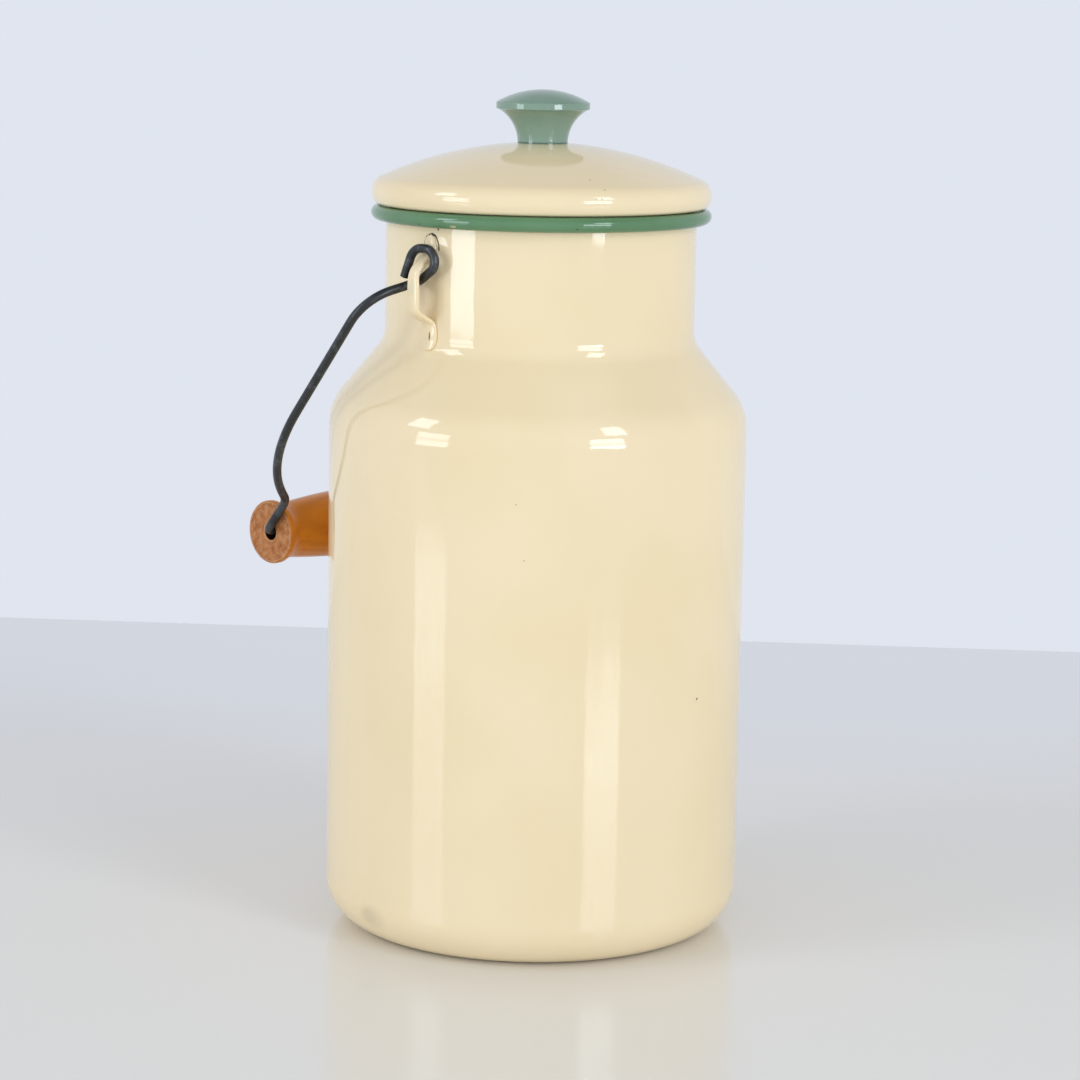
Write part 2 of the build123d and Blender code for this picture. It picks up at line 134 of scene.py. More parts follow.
# vitreous enamel over sheet steel, dipped and fired: glassy, a little wavy, pooled round whatever is fixed on,
# with pinholes, and bare dark iron where it is chipped
def vitreousEnamel(name, look):
    material, tree, shader, place = newMaterial(name)
    patches = addNode(tree, "TexNoise", {"Vector": place, "Scale": 1 / (look["patchSize"] * mm), "Detail": 2.0})
    patch = addNode(tree, "MapRange", {"Value": patches, "From Min": 0.35, "From Max": 0.7},
                    interpolation_type="SMOOTHSTEP")
    tint = addNode(tree, "Mix", {0: patch, 6: colour(look["base"]), 7: colour(look["deep"])}, data_type="RGBA")

    # pinholes: a few cells have one each
    cells = addNode(tree, "TexVoronoi", {"Vector": place, "Scale": 1 / (look["holeSpacing"] * mm)})
    hole = look["holeSize"] / look["holeSpacing"]
    dots = addNode(tree, "MapRange", {"Value": cells.outputs["Distance"], "From Min": hole,
                                      "From Max": hole * look["holeCore"]})
    cell = addNode(tree, "SeparateColor", {0: cells.outputs["Color"]})
    few = addNode(tree, "Math", {0: cell, 1: 1 - look["holeShare"]}, operation="GREATER_THAN")
    fewDots = addNode(tree, "Math", {0: dots, 1: few}, operation="MULTIPLY")
    holes = addNode(tree, "Math", {0: fewDots, 1: look["holeTone"]}, operation="MULTIPLY")

    # chips have ragged edges with a faint brown rim
    rag = addNode(tree, "TexNoise", {"Vector": place, "Scale": 1 / (look["ragSize"] * mm), "Detail": 3.0})
    shift = addNode(tree, "VectorMath", {0: rag.outputs["Color"], 1: (0.5, 0.5, 0.5)}, operation="SUBTRACT")
    moved = addNode(tree, "VectorMath", {0: shift, 1: (look["rag"] * mm,) * 3, 2: place},
                    operation="MULTIPLY_ADD").outputs["Vector"]
    chips = spots(tree, moved, look["chips"])
    if "arch" in look:
        line = brokenLine(tree, place, moved, look["arch"])
        chips = addNode(tree, "Math", {0: chips, 1: line}, operation="MAXIMUM")
    rims = spots(tree, moved, [(x, y, z, across * look["rimAcross"], tall * look["rimTall"])
                               for x, y, z, across, tall in look["chips"]])
    rim = addNode(tree, "Math", {0: rims, 1: look["rimTone"]}, operation="MULTIPLY")
    tint = addNode(tree, "Mix", {0: rim, 6: tint, 7: colour(look["chipEdge"])}, data_type="RGBA")

    # stains and smudges, each set a shade, its strength and its places
    for shade, strength, marks in look["marks"]:
        mark = addNode(tree, "Math", {0: spots(tree, moved, marks), 1: strength}, operation="MULTIPLY")
        tint = addNode(tree, "Mix", {0: mark, 6: tint, 7: colour(shade)}, data_type="RGBA")
    bare = addNode(tree, "Math", {0: chips, 1: holes}, operation="MAXIMUM")
    finish = addNode(tree, "Mix", {0: bare, 6: tint, 7: colour(look["iron"])}, data_type="RGBA")
    gloss = addNode(tree, "TexNoise", {"Vector": place, "Scale": 1 / (look["glossSize"] * mm), "Detail": 4.0})
    glossy = addNode(tree, "MapRange", {"Value": gloss, "From Min": 0.3, "From Max": 0.7,
                                        "To Min": look["smooth"], "To Max": look["rough"]})
    rough = addNode(tree, "Mix", {0: bare, 2: glossy, 3: look["bareRough"]}, data_type="FLOAT")

    # waves, the pools that the enamel ran into as (x, y, z, size, rise), and the sunk chips
    waves = addNode(tree, "TexNoise", {"Vector": place, "Scale": 1 / (look["waveSize"] * mm), "Detail": 1.0})
    height = addNode(tree, "Math", {0: waves, 1: look["waveHeight"]}, operation="MULTIPLY")
    for x, y, z, size, rise in look["pools"]:
        gap = addNode(tree, "VectorMath", {0: place, 1: (x * mm, y * mm, z * mm)}, operation="DISTANCE")
        pool = addNode(tree, "MapRange", {"Value": gap.outputs["Value"], "From Min": size * mm, "From Max": 0.0,
                                          "To Max": rise}, interpolation_type="SMOOTHSTEP")
        height = addNode(tree, "Math", {0: height, 1: pool}, operation="ADD")
    sunk = addNode(tree, "Math", {0: chips, 1: -look["chipDepth"], 2: height}, operation="MULTIPLY_ADD")
    bump = addNode(tree, "Bump", {"Height": sunk, "Distance": mm, "Strength": 1.0})
    setInputs(tree, shader, {"Base Color": finish, "Roughness": rough, "Normal": bump, "IOR": 1.52})
    return material


# what every enamel here shares; sizes, heights and depths in millimetres
enamelLook = {
    "holeSize": 0.3, "holeCore": 0.5, "holeShare": 0.1, "holeTone": 0.7,
    "rimAcross": 1.5, "rimTall": 1.3, "rimTone": 0.4, "chipDepth": 0.12, "bareRough": 0.7, "glossSize": 30.0,
    "chips": [], "marks": [], "pools": [],
}
creamLook = {
    **enamelLook, "base": "#F8E5BF", "deep": "#F5E1B8", "iron": "#2A2724", "chipEdge": "#8B7A60",
    "patchSize": 70.0, "waveSize": 17.0, "waveHeight": 0.09, "smooth": 0.04, "rough": 0.07,
    "holeSpacing": 23.0, "rag": 0.9, "ragSize": 1.3,
}
canEnamel = vitreousEnamel("creamVitreousEnamel", {
    **creamLook,
    "chips": [(-60.9, -3.9, 280.3, 0.45, 1.1), (-62.3, -1.2, 239.1, 0.28, 1.7), (-61.6, 0.2, 270.2, 0.5, 0.5),
              (4.3, -82.4, 101.6, 0.42, 0.42)],
    "marks": [  # a grey smudge by the base, a green tinge on the left ear and two brown pinholes
        ("#B9B196", 0.11, [(-81.4, 7.4, 12.6, 8.6, 5.8)]),
        ("#B9B196", 0.12, [(-81.4, 8.0, 12.8, 6.6, 4.4)]),
        ("#ACA68E", 0.14, [(-81.4, 9.0, 13.0, 4.4, 3.0)]),
        ("#BCD6BC", 0.3, [(-70.9, -0.4, 258.0, 1.3, 3.2)]),
        ("#6B5C46", 0.5, [(-65.0, -50.7, 180.5, 0.34, 0.34), (-62.9, -53.3, 159.4, 0.32, 0.32)]),
    ],
    "arch": {"centre": (-60.9, -0.7, 272.6), "size": (20.0, 3.6, 5.2), "line": 0.075, "breaks": 1.2,
             "broken": 0.41, "foot": 271.6, "face": -60.3},
    "pools": [(side * x, 0, z, size, rise)
              for x, z, size, rise in ((60.9, 273, 9.0, 0.85), (61.5, 238, 8.0, 0.4)) for side in (-1, 1)],
})
lidEnamel = vitreousEnamel("lidVitreousEnamel", {
    **creamLook,
    "marks": [("#B59E78", 0.6, [(-26.2, -46.3, 300.5, 0.6, 0.4), (-27.1, -50.2, 299.7, 0.5, 0.4),
                                (-27.3, -58.1, 296.4, 0.5, 0.5), (-31.7, -58.1, 293.2, 0.6, 0.5),
                                (-30.0, -59.1, 293.2, 0.5, 0.5)])],
})
greenEnamel = vitreousEnamel("greenVitreousEnamel", {
    **enamelLook, "base": "#628C65", "deep": "#59835C", "iron": "#23211F", "chipEdge": "#4C6B54",
    "patchSize": 25.0, "waveSize": 6.0, "waveHeight": 0.02, "smooth": 0.03, "rough": 0.06,
    "holeSpacing": 14.0, "rag": 0.8, "ragSize": 1.2,
    "chips": [(-66.2, 1.0, 281.6, 0.4, 0.3), (-38.0, -54.2, 281.9, 0.4, 0.3), (52.0, -41.0, 284.0, 0.5, 0.3),
              (20.0, 63.0, 282.0, 0.5, 0.4)],
    "marks": [("#CDBE98", 0.7, [(-64.4, -15.2, 281.5, 1.5, 0.55)])],
})


# urea plastic, compression moulded: even and glossy, with fine handling scratches, and a darker green band
# along its foot where it meets the lid, which is painted shade
def mouldedUrea(look, seat):
    material, tree, shader, place = newMaterial("mouldedGreenUrea")
    cloud = addNode(tree, "TexNoise", {"Vector": place, "Scale": 1 / (look["cloudSize"] * mm), "Detail": 2.0})
    clouded = addNode(tree, "MapRange", {"Value": cloud, "From Min": 0.3, "From Max": 0.75,
                                         "To Max": look["cloudTone"]}, interpolation_type="SMOOTHSTEP")
    tint = addNode(tree, "Mix", {0: clouded, 6: colour(look["green"]), 7: colour(look["dull"])}, data_type="RGBA")
    height = addNode(tree, "SeparateXYZ", {0: place}).outputs["Z"]
    # painted shade: darker green just above the seat, where the knob's foot meets the lid
    foot = addNode(tree, "MapRange", {"Value": height, "From Min": (seat + look["footShadeTop"]) * mm,
                                      "From Max": (seat + look["footShadeFull"]) * mm, "To Max": look["footShadeTone"]},
                   interpolation_type="SMOOTHSTEP")
    footShaded = addNode(tree, "Mix", {0: foot, 6: tint, 7: colour(look["footShade"])}, data_type="RGBA")
    stretched = addNode(tree, "Mapping", {"Vector": place, "Scale": (1.0, 1.0, look["scratchStretch"])})
    scratches = addNode(tree, "TexNoise", {"Vector": stretched, "Scale": 1 / (look["scratchSize"] * mm),
                                           "Detail": 4.0})
    rough = addNode(tree, "MapRange", {"Value": scratches, "From Min": 0.35, "From Max": 0.75,
                                       "To Min": look["smooth"], "To Max": look["rough"]})
    bump = addNode(tree, "Bump", {"Height": scratches, "Distance": look["scratchDepth"] * mm, "Strength": 0.5})
    setInputs(tree, shader, {"Base Color": footShaded, "Roughness": rough, "Normal": bump, "IOR": 1.54})
    return material


# mild steel wire, blackened and oiled: dark and satin, blue-grey where the oxide has rubbed thin
def blackenedWire(look):
    material, tree, shader, place = newMaterial("blackenedSteelWire")
    patches = addNode(tree, "TexNoise", {"Vector": place, "Scale": 1 / (look["rubbedSize"] * mm), "Detail": 4.0})
    patch = addNode(tree, "MapRange", {"Value": patches, "From Min": 0.5, "From Max": 0.72,
                                       "To Max": look["rubbedTone"]}, interpolation_type="SMOOTHSTEP")
    ends = spots(tree, place, look["rubbedAt"])
    worn = addNode(tree, "Math", {0: ends, 1: look["rubbedAtTone"], 2: patch}, operation="MULTIPLY_ADD",
                   use_clamp=True)
    tint = addNode(tree, "Mix", {0: worn, 6: colour(look["black"]), 7: colour(look["rubbed"])}, data_type="RGBA")
    grain = addNode(tree, "TexNoise", {"Vector": place, "Scale": 1 / (look["scaleSize"] * mm), "Detail": 3.0})
    rough = addNode(tree, "MapRange", {"Value": grain, "From Min": 0.3, "From Max": 0.7,
                                       "To Min": look["smooth"], "To Max": look["rough"]})
    bump = addNode(tree, "Bump", {"Height": grain, "Distance": look["scaleDepth"] * mm, "Strength": 0.6})
    setInputs(tree, shader, {"Base Color": tint, "Roughness": rough, "Normal": bump,
                             "Metallic": look["metallic"]})
    return material


# fittings: zinc-dull steel turned to shape, a turned brass insert, black rubber cut from sheet
def plainFitting(name, look):
    material, tree, shader, place = newMaterial(name)
    patches = addNode(tree, "TexNoise", {"Vector": place, "Scale": 1 / (look["size"] * mm), "Detail": 5.0})
    tint = addNode(tree, "Mix", {0: patches, 6: colour(look["light"]), 7: colour(look["dark"])}, data_type="RGBA")
    rough = addNode(tree, "MapRange", {"Value": patches, "From Min": 0.3, "From Max": 0.7,
                                       "To Min": look["smooth"], "To Max": look["rough"]})
    setInputs(tree, shader, {"Base Color": tint, "Roughness": rough, "Metallic": look["metallic"]})
    return material


plainSteel = plainFitting("dullZincedSteel", {
    "light": "#A9A8A4", "dark": "#8C8A85", "size": 2.0, "smooth": 0.3, "rough": 0.45, "metallic": 1.0})
insertBrass = plainFitting("turnedBrass", {
    "light": "#D8B66A", "dark": "#B8934A", "size": 3.0, "smooth": 0.2, "rough": 0.32, "metallic": 1.0})
sealRubber = plainFitting("blackRubber", {
    "light": "#34302C", "dark": "#282522", "size": 1.5, "smooth": 0.6, "rough": 0.75, "metallic": 0.0})


# beech under amber shellac, turned: smooth and warm with faint grain along the axis; the end faces are bare
# and mottled
def shellackedBeech(grip):
    look = grip["finish"]
    material, tree, shader, place = newMaterial("shellackedBeech")
    centred = addNode(tree, "Mapping", {"Vector": place,
                                        "Location": (0, -grip["axisY"] * mm, -grip["axisZ"] * mm)})
    along = addNode(tree, "SeparateXYZ", {0: centred}).outputs["X"]
    flat = addNode(tree, "VectorMath", {0: centred, 1: (0.0, 1.0, 1.0)}, operation="MULTIPLY")
    radius = addNode(tree, "VectorMath", {0: flat}, operation="LENGTH").outputs["Value"]

    # the barrel is cut beside the heart, so the growth rings' middle lies off its axis
    middle = (0.0, look["heartY"] * mm, look["heartZ"] * mm)
    heart = addNode(tree, "VectorMath", {0: centred, 1: middle}, operation="SUBTRACT")
    drawn = addNode(tree, "VectorMath", {0: heart, 1: (look["ringStretch"], 1.0, 1.0)}, operation="MULTIPLY")
    wobble = addNode(tree, "TexNoise", {"Vector": drawn, "Scale": 1 / (look["wobbleSize"] * mm), "Detail": 3.0})
    distance = addNode(tree, "VectorMath", {0: drawn}, operation="LENGTH").outputs["Value"]
    bent = addNode(tree, "Math", {0: wobble, 1: look["wobble"] * mm, 2: distance}, operation="MULTIPLY_ADD")
    phase = addNode(tree, "Math", {0: bent, 1: 2 * pi / (look["ring"] * mm)}, operation="MULTIPLY")
    rings = addNode(tree, "Math", {0: phase}, operation="SINE")
    ringTone = addNode(tree, "MapRange", {"Value": rings, "From Min": -0.6, "To Max": look["ringTone"]},
                       interpolation_type="SMOOTHSTEP")
    amber = addNode(tree, "Mix", {0: ringTone, 6: colour(look["amber"]), 7: colour(look["dark"])},
                    data_type="RGBA")

    # short rays, drawn coarser than real ones so that they show
    stretched = addNode(tree, "VectorMath", {0: centred, 1: (look["rayStretch"], 1.0, 1.0)}, operation="MULTIPLY")
    rays = addNode(tree, "TexNoise", {"Vector": stretched, "Scale": 1 / (look["raySize"] * mm), "Detail": 2.0})
    rayTone = addNode(tree, "MapRange", {"Value": rays, "From Min": 0.58, "From Max": 0.75,
                                         "To Max": look["rayTone"]}, interpolation_type="SMOOTHSTEP")
    varnished = addNode(tree, "Mix", {0: rayTone, 6: amber, 7: colour(look["dark"])}, data_type="RGBA")

    # bare end faces: the shellac ends raggedly at their edge; they are mottled, and flecked towards the rim
    across = addNode(tree, "Math", {0: along}, operation="ABSOLUTE")
    edge = addNode(tree, "TexNoise", {"Vector": centred, "Scale": 1 / (look["edgeSize"] * mm), "Detail": 4.0})
    reach = addNode(tree, "Math", {0: edge, 1: look["edgeWander"] * mm, 2: across}, operation="MULTIPLY_ADD")
    bare = addNode(tree, "MapRange", {"Value": reach, "From Min": (grip["half"] + look["edgeFrom"]) * mm,
                                      "From Max": (grip["half"] + look["edgeTo"]) * mm},
                   interpolation_type="SMOOTHSTEP")
    mottle = addNode(tree, "TexNoise", {"Vector": centred, "Scale": 1 / (look["mottleSize"] * mm), "Detail": 6.0,
                                        "Roughness": 0.7})
    mottled = addNode(tree, "MapRange", {"Value": mottle, "From Min": 0.32, "From Max": 0.66},
                      interpolation_type="SMOOTHSTEP")
    face = addNode(tree, "Mix", {0: mottled, 6: colour(look["bareDark"]), 7: colour(look["bare"])},
                   data_type="RGBA")
    rimward = addNode(tree, "MapRange", {"Value": radius, "From Min": look["fleckFrom"] * mm,
                                         "From Max": look["fleckTo"] * mm, "To Max": look["fleckMore"]})
    speck = addNode(tree, "TexNoise", {"Vector": centred, "Scale": 1 / (look["fleckSize"] * mm), "Detail": 3.0})
    raised = addNode(tree, "Math", {0: speck, 1: rimward}, operation="ADD")
    pale = addNode(tree, "MapRange", {"Value": raised, "From Min": 0.7, "From Max": 0.8,
                                      "To Max": look["fleckTone"]}, interpolation_type="SMOOTHSTEP")
    flecked = addNode(tree, "Mix", {0: pale, 6: face, 7: colour(look["fleck"])}, data_type="RGBA")

    # pale rings where the face's edge and the bore's mouth are rubbed, and the bore painted dark as shade inside
    # it
    outer = addNode(tree, "Math", {0: radius, 1: look["rubOuter"] * mm, 2: look["rubOuterWidth"] * mm},
                    operation="COMPARE")
    mouth = addNode(tree, "Math", {0: radius, 1: look["rubMouth"] * mm, 2: look["rubMouthWidth"] * mm},
                    operation="COMPARE")
    both = addNode(tree, "Math", {0: outer, 1: mouth}, operation="MAXIMUM")
    rubbed = addNode(tree, "Math", {0: both, 1: look["rubTone"]}, operation="MULTIPLY")
    faced = addNode(tree, "Mix", {0: rubbed, 6: flecked, 7: colour(look["rub"])}, data_type="RGBA")
    outside = addNode(tree, "Mix", {0: bare, 6: varnished, 7: faced}, data_type="RGBA")
    # painted shade: the bore goes dark inside
    boreShaded = addNode(tree, "MapRange", {"Value": radius, "From Min": look["boreShadeFrom"] * mm,
                                       "From Max": look["boreShadeTo"] * mm})
    finish = addNode(tree, "Mix", {0: boreShaded, 6: outside, 7: colour(look["bore"])}, data_type="RGBA")
    rough = addNode(tree, "Mix", {0: bare, 2: look["smooth"], 3: look["rough"]}, data_type="FLOAT")
    bump = addNode(tree, "Bump", {"Height": mottle, "Distance": look["mottleDepth"] * mm, "Strength": bare})
    setInputs(tree, shader, {"Base Color": finish, "Roughness": rough, "Normal": bump, "IOR": 1.5,
                             "Specular IOR Level": 0.25})
    return material


print("materials ready")

# shapes; an arc's steps in degrees, and in millimetres on a wide one; spare points stand off an arc's end
arcs = {"step": 3.0, "chord": 2.5, "fewest": 4, "spare": 0.4, "longRun": 1.5}


def ofKind(items, kind):
    return [item for item in items if isinstance(item, kind)]


def drawLine(mesh, corners, close=False):
    # a line in the XZ plane through (x, z, round) corners in millimetres, with an arc at each round;
    # a spare point beside each arc's ends keeps the long straight runs' shading straight
    count = len(corners)
    points = [Vector((x, 0, z)) for x, z, size in corners]
    runs = [points[(i + 1) % count] - points[i] for i in range(count)]
    setbacks = [size * tan(runs[i - 1].angle(runs[i]) / 2) if size else 0
                for i, (x, z, size) in enumerate(corners)]
    straights = [runs[i].length - setbacks[i] - setbacks[(i + 1) % count] for i in range(count)]
    chain = []
    for i, (x, z, size) in enumerate(corners):
        if not size:
            chain.append(mesh.verts.new(points[i]))
            continue
        before = runs[i - 1].normalized()
        after = runs[i].normalized()
        bend = before.angle(after)
        side = 1 if before.cross(after).y > 0 else -1
        start = mesh.verts.new(points[i] - before * setbacks[i])
        if straights[i - 1] > arcs["longRun"]:
            chain.append(mesh.verts.new(start.co - before * arcs["spare"]))
        centre = start.co + Vector((before.z, 0, -before.x)) * size * side
        steps = max(arcs["fewest"], round(degrees(bend) / arcs["step"]))
        spun = bmesh.ops.spin(mesh, geom=[start], cent=centre, axis=(0, 1, 0), angle=bend * side, steps=steps,
                              use_duplicate=False)
        end = ofKind(spun["geom_last"], bmesh.types.BMVert)[0]
        chain += [start, None, end]
        if straights[i] > arcs["longRun"]:
            chain.append(mesh.verts.new(end.co + after * arcs["spare"]))
    if close:
        chain.append(chain[0])
    for one, two in zip(chain, chain[1:]):
        if one and two:
            mesh.edges.new((one, two))
    bmesh.ops.remove_doubles(mesh, verts=mesh.verts[:], dist=0.01)


def drawArcs(mesh, start, heading, row):
    # arcs as (radius, turn) in a row, each leaving along the end of the last; a turn to the right is positive
    vert = first = mesh.verts.new((start[0], 0, start[1]))
    for radius, bend in row:
        right = Vector((sin(heading), 0, -cos(heading)))
        centre = vert.co + right * radius * (1 if bend > 0 else -1)
        steps = max(arcs["fewest"], round(abs(degrees(bend)) / arcs["step"]),
                    round(radius * abs(bend) / arcs["chord"]))
        spun = bmesh.ops.spin(mesh, geom=[vert], cent=centre, axis=(0, 1, 0), angle=bend, steps=steps,
                              use_duplicate=False)
        vert = ofKind(spun["geom_last"], bmesh.types.BMVert)[0]
        heading -= bend
    return first, vert


def joinOn(mesh, vert, points):
    # straight runs from a vertex through (x, z) points
    for x, z in points:
        following = mesh.verts.new((x, 0, z))
        mesh.edges.new((vert, following))
        vert = following
    return vert


def spinRound(mesh, steps, axis=(0, 0, 1)):
    geometry = mesh.verts[:] + mesh.edges[:]
    bmesh.ops.spin(mesh, geom=geometry, cent=(0, 0, 0), axis=axis, angle=2 * pi, steps=steps, use_merge=True)
    bmesh.ops.remove_doubles(mesh, verts=mesh.verts[:], dist=0.005)
    bmesh.ops.recalc_face_normals(mesh, faces=mesh.faces[:])


def makePiece(name, mesh, material, body, nodes, sharp=35):
    # the shape is drawn in millimetres and kept in metres
    bmesh.ops.scale(mesh, vec=(mm, mm, mm), verts=mesh.verts[:])
    data = bpy.data.meshes.new(name)
    mesh.to_mesh(data)
    mesh.free()
    for face in data.polygons:
        face.use_smooth = True
    data.set_sharp_from_angle(angle=radians(sharp))
    data.materials.append(material)
    piece = bpy.data.objects.new(name, data)
    bpy.context.scene.collection.objects.link(piece)
    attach(piece, body)
    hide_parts(*nodes)
    return piece


def thicken(piece, thickness, offset=-1.0):
    # at -1 the drawn surface stays the outer face
    wall = piece.modifiers.new("wall", "SOLIDIFY")
    wall.thickness = thickness * mm
    wall.offset = offset
    wall.use_even_offset = offset != 0
    return wall


# the can: standing ring, side, shoulder and neck in one sheet, up into the rolled rim
can = {
    "radius": 82.5, "neckRadius": 60.9, "wall": 1.1, "sideTop": 208.0, "coneLean": 39.7,
    "shoulderRound": 22.0, "neckRound": 12.0, "cornerRound": 17.0, "ringRadius": 59.5,
    "recessSlope": 3.0, "recess": 2.5, "recessRound": 1.8, "neckHeight": 49.2,
    "intoRoll": 0.6, "spare": 1.4, "around": 180,
}
coneTop = can["sideTop"] + (can["radius"] - can["neckRadius"]) / tan(radians(can["coneLean"]))
rollZ = coneTop + can["neckHeight"]
neckEnd = rollZ - can["intoRoll"]
mesh = bmesh.new()
drawLine(mesh, [
    (0, can["recess"], 0),
    (can["ringRadius"] - can["recessSlope"], can["recess"], can["recessRound"]),
    (can["ringRadius"], 0, can["recessRound"]),
    (can["radius"], 0, can["cornerRound"]),
    (can["radius"], can["sideTop"], can["shoulderRound"]),
    (can["neckRadius"], coneTop, can["neckRound"]),
    (can["neckRadius"], neckEnd - can["spare"], 0),
    (can["neckRadius"], neckEnd, 0),
])
spinRound(mesh, can["around"])
canShell = makePiece("canShell", mesh, canEnamel, "can", ["can_body", "can_neck", "can_bottom"])
thicken(canShell, can["wall"])

# the rim, rolled outwards over a wire
roll = {"radius": 2.9, "lipRound": 3.5, "lap": 0.05, "around": 180}
rollX = can["neckRadius"] + roll["radius"] - roll["lap"] * can["wall"]
rollTop = rollZ + roll["radius"]
boreRadius = can["neckRadius"] - can["wall"]
mesh = bmesh.new()
drawLine(mesh, [
    (boreRadius, rollTop - roll["lipRound"], 0),
    (boreRadius, rollTop, roll["lipRound"]),
    (rollX + roll["radius"], rollTop, roll["radius"]),
    (rollX + roll["radius"], rollTop - 2 * roll["radius"], roll["radius"]),
    (rollX - roll["radius"], rollTop - 2 * roll["radius"], roll["radius"]),
    (rollX - roll["radius"], rollTop - roll["radius"], 0),
], close=True)
spinRound(mesh, roll["around"])
makePiece("rimRoll", mesh, greenEnamel, "can", ["rim_roll"])
print("can and rim ready")

# strap ears: a bar set off from the neck between two hammered feet, all rounded over by the enamel;
# widths in millimetres and shares of the thickness go by height
ear = {
    "neck": 61.59, "bar": 69.84, "top": 277.5, "end": 233.75, "upperRoot": 270.02, "upperBend": 264.02,
    "lowerBend": 248.9, "lowerRoot": 244.2, "upperRound": 7.0, "lowerRound": 3.0, "rootRound": 2.4, "tail": 5.0,
    "thickness": 2.2, "edgeDrop": 0.7, "edgeThin": 0.5, "columns": [-1.0, -0.7, -0.25, 0.25, 0.7, 1.0],
    "firstRow": 232.6, "rowGap": 2.2, "rows": 20, "sameRow": 0.3, "smoothing": 2,
    "halfWidths": [(233.7, 1.4), (234.4, 2.7), (235.8, 3.6), (238.0, 4.15), (240.5, 4.3), (243.0, 3.8),
                   (245.5, 3.1), (247.0, 2.95), (258.0, 2.9), (262.0, 2.6), (267.0, 2.5), (269.5, 2.85),
                   (272.4, 3.35), (275.0, 2.9), (276.7, 2.3), (277.5, 1.6)],
    "thick": [(233.7, 0.35), (236.0, 0.5), (241.0, 0.65), (244.0, 0.85), (246.5, 1.0), (267.0, 1.0),
              (270.5, 0.75), (272.5, 0.5), (276.5, 0.35), (277.5, 0.25)],
}


def follow(steps, at):
    # a value that changes evenly from one (height, value) step to the next
    for (low, first), (high, second) in zip(steps, steps[1:]):
        if at <= high:
            return first + (second - first) * max(0.0, (at - low) / (high - low))
    return steps[-1][1]


def cutAcross(mesh, height, near, below=False):
    # a level cut through everything, which may take away what is below it
    bmesh.ops.bisect_plane(mesh, geom=mesh.verts[:] + mesh.edges[:] + mesh.faces[:], dist=near,
                           plane_co=(0, 0, height), plane_no=(0, 0, 1), clear_inner=below)


grown = ear["neck"] - can["neckRadius"]
lean = radians(can["coneLean"])
footCorner = coneTop + grown * tan(lean / 2)
rowHeights = [low for low, width in ear["halfWidths"][1:-1]]
rowHeights += [ear["firstRow"] + ear["rowGap"] * step for step in range(ear["rows"])]
for name, node, side in (("earLeft", "ear_left", -1), ("earRight", "ear_right", 1)):
    mesh = bmesh.new()
    drawLine(mesh, [
        (ear["neck"], ear["top"], 0),
        (ear["neck"], ear["upperRoot"], ear["rootRound"]),
        (ear["bar"], ear["upperBend"], ear["upperRound"]),
        (ear["bar"], ear["lowerBend"], ear["lowerRound"]),
        (ear["neck"], ear["lowerRoot"], ear["rootRound"]),
        (ear["neck"], footCorner, can["neckRound"] - grown),
        (ear["neck"] + ear["tail"] * sin(lean), footCorner - ear["tail"] * cos(lean), 0),
    ])
    bmesh.ops.translate(mesh, vec=(0, ear["columns"][0], 0), verts=mesh.verts[:])
    strip = mesh.edges[:]
    for before, after in zip(ear["columns"], ear["columns"][1:]):
        made = bmesh.ops.extrude_edge_only(mesh, edges=strip)["geom"]
        bmesh.ops.translate(mesh, vec=(0, after - before, 0), verts=ofKind(made, bmesh.types.BMVert))
        strip = ofKind(made, bmesh.types.BMEdge)
    cutAcross(mesh, ear["end"], 0.01, below=True)
    for height in rowHeights:
        cutAcross(mesh, height, ear["sameRow"])
    # the strip gets its width, bends round the neck, and drops at its edges where the feet are hammered thin
    for vert in mesh.verts:
        column = vert.co.y
        vert.co.y = column * follow(ear["halfWidths"], vert.co.z)
        foot = 1 - follow(ear["thick"], vert.co.z)
        drop = ear["edgeDrop"] * foot * abs(column) ** 3
        vert.co.x = sqrt(vert.co.x ** 2 - vert.co.y ** 2) - drop
    bmesh.ops.scale(mesh, vec=(side, 1, 1), verts=mesh.verts[:])
    bmesh.ops.recalc_face_normals(mesh, faces=mesh.faces[:])
    piece = makePiece(name, mesh, canEnamel, "can", [node], sharp=180)
    group = piece.vertex_groups.new(name="thickness")
    for vert in piece.data.vertices:
        height = vert.co.z / mm
        column = min(1.0, abs(vert.co.y / mm) / follow(ear["halfWidths"], height))
        group.add([vert.index], follow(ear["thick"], height) * (1 - ear["edgeThin"] * column ** 6), "REPLACE")
    thicken(piece, ear["thickness"], 0.0).vertex_group = group.name
    soften = piece.modifiers.new("soften", "SUBSURF")
    soften.levels = ear["smoothing"]
    soften.render_levels = ear["smoothing"]
print("ears ready")

# the lid's cover, in one sheet from the screw's hole over the dome and round its edge to the collar
lid = {
    "overhang": 2.75, "gap": 0.3, "widest": 5.0, "edgeRound": 6.4, "edgeCurl": 8.0, "footRound": 2.5,
    "domeRadius": 150.0, "seatRound": 10.0, "seatRadius": 10.6, "screwHole": 2.3, "holeRadius": 60.6,
    "seatSpare": 1.0, "holeSpare": 0.6, "around": 180,
}
lidBase = rollTop + lid["gap"]
lidWidest = lidBase + lid["widest"]
lidRadius = rollX + lid["overhang"]
crownRadius = lid["domeRadius"] - lid["edgeRound"]
domeZ = lidWidest - sqrt(crownRadius ** 2 - (lidRadius - lid["edgeRound"]) ** 2)
seatRim = lid["domeRadius"] - lid["seatRound"]
seatTurn = asin(lid["seatRadius"] / seatRim)
seatZ = domeZ + lid["seatRound"] + sqrt(seatRim ** 2 - lid["seatRadius"] ** 2)
domeEnd = asin((lidWidest - domeZ) / crownRadius)
curlTurn = asin((lid["widest"] - lid["footRound"]) / (lid["edgeCurl"] - lid["footRound"]))
mesh = bmesh.new()
